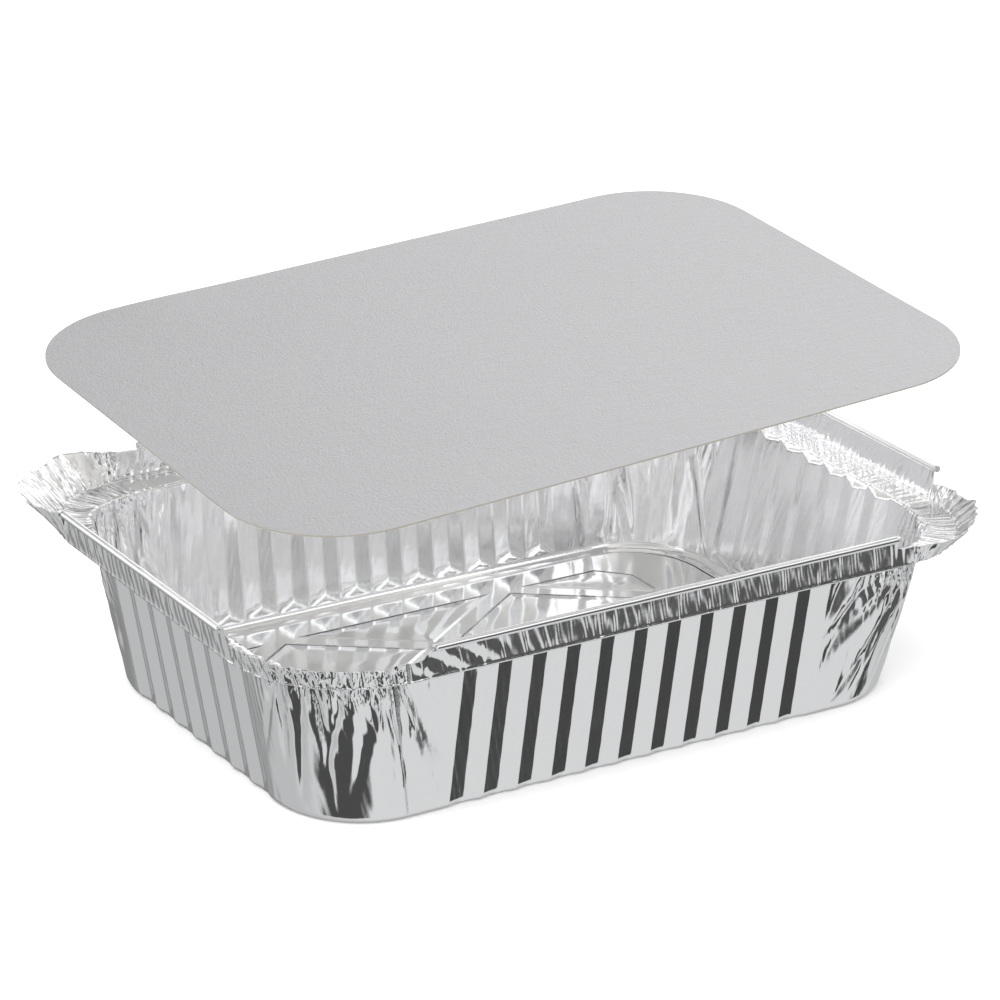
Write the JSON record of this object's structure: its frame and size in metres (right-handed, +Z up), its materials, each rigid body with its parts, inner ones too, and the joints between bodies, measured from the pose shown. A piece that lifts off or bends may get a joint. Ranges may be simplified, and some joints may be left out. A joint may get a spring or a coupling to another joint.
{
  "type": "foil food container",
  "caption": "Shallow oblong pressed-foil tray with fluted sides, curled rim and crumpled corners, under a flat round-cornered board lid.",
  "frame": {"origin": "middle of the tray's flat base, on the surface that the tray stands on", "axes": "+X along the tray's long side, +Y towards its back, +Z up"},
  "size_m": [0.2184, 0.1586, 0.1033],
  "materials": {
    "foil": "bright rolled foil",
    "lid_board": "matt foil-faced board"
  },
  "bodies": {
    "tray": {"tray": "foil"},
    "lid": {"lid": "lid_board"}
  },
  "joints": [
    {"name": "lid_lower", "type": "hinge", "parent": "tray", "child": "lid", "pos_m": [-0.42962, -0.44488, -0.0656], "axis": [0.7193, -0.6947, 0], "range_deg": [-4.7, 0]}
  ]
}
